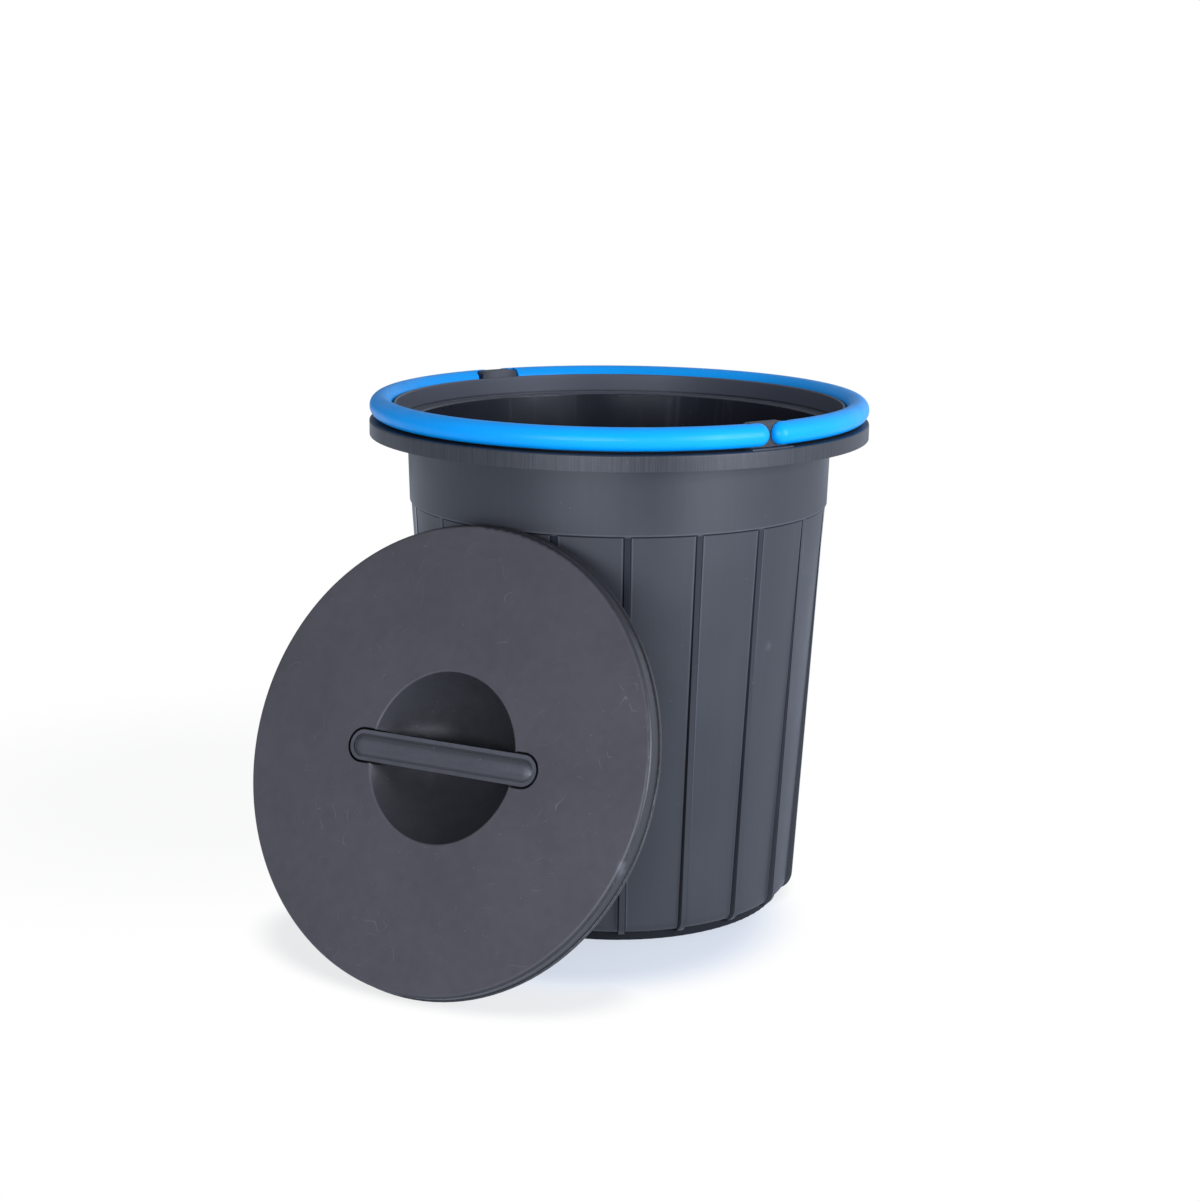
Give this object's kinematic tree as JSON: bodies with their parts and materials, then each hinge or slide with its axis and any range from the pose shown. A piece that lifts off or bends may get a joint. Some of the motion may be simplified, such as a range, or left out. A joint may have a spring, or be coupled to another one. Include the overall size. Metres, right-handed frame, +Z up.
{
  "type": "recycling bin",
  "caption": "Round tapered waste bin with outer ribs, a carrying ring in two halves that fold up as bails, and a flat lid with a hand bowl and grip bar that leans on its side.",
  "frame": {"origin": "centre of the bin's foot, on the floor", "axes": "+Z up along the bin's axis; the lid leans on the front left, between -X and -Y; the ring's pivots lie 35 degrees from -Y towards +X"},
  "size_m": [0.456, 0.4882, 0.3922],
  "materials": {
    "bin_plastic": "satin moulded",
    "ring_plastic": "satin moulded",
    "lid_plastic": "satin moulded",
    "grip_plastic": "satin moulded"
  },
  "bodies": {
    "bin": {"bin_body": "bin_plastic", "lid_cap": "lid_plastic", "lid_grip": "grip_plastic"},
    "right_bail": {"handle_right": "ring_plastic"},
    "left_bail": {"handle_left": "ring_plastic"}
  },
  "joints": [
    {"name": "right_bail_pivot", "type": "hinge", "parent": "bin", "child": "right_bail", "pos_m": [0.00833, 0.0059, 0.38386], "axis": [0.5779, -0.8161, 0], "range_deg": [0, 90]},
    {"name": "left_bail_pivot", "type": "hinge", "parent": "bin", "child": "left_bail", "pos_m": [-0.00833, -0.0059, 0.38386], "axis": [-0.5779, 0.8161, 0], "range_deg": [0, 90]}
  ]
}
